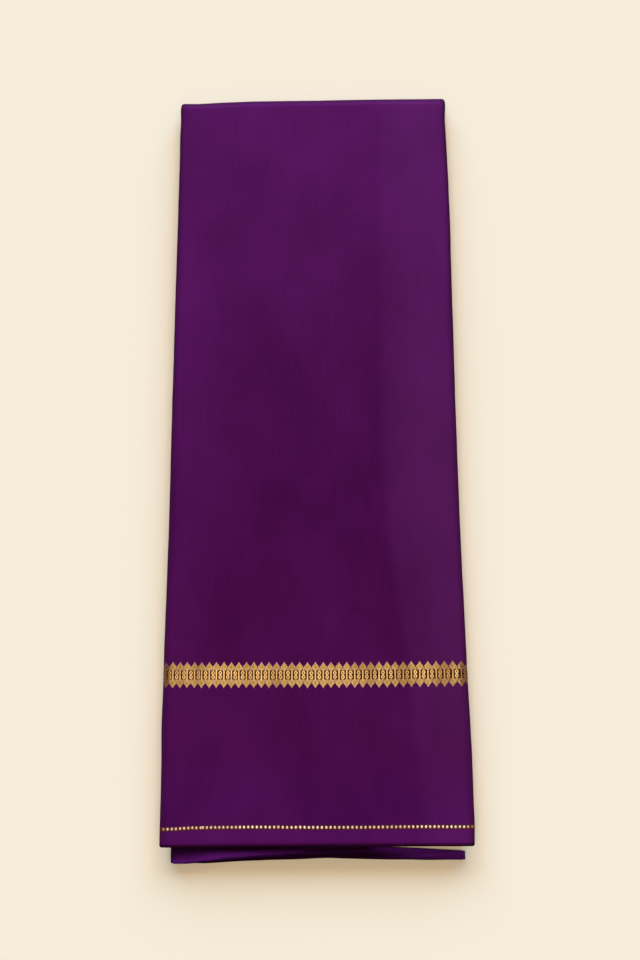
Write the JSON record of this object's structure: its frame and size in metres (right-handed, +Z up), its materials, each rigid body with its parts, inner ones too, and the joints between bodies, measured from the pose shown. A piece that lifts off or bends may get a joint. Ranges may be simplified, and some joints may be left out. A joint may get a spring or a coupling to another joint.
{
  "type": "folded silk saree",
  "caption": "Silk saree pleated into a long narrow pile and folded once across, laid flat face up, with a woven gold temple band and a gold dot line near its hem.",
  "frame": {"origin": "under the middle of the folded pile, on the surface that it lies on", "axes": "+X to the right seen from the hem, +Y along the pile from the hems to the fold, +Z up out of the face"},
  "size_m": [0.2232, 0.587, 0.0167],
  "materials": {
    "silk_face": "deep purple mulberry silk in a fine plain weave with a soft sheen",
    "silk_inner": "the same silk in the hidden plies, whose folds and hems show at the edges",
    "silk_hem": "the same silk at the selvedge, woven a little closer",
    "zari": "woven gold-wrapped thread, bright and slightly grained"
  },
  "bodies": {
    "root": {"front_panel": "silk_face", "under_panel": "silk_face", "folded_plies": "silk_inner", "back_hem": "silk_hem", "under_hem": "silk_hem"}
  },
  "joints": []
}
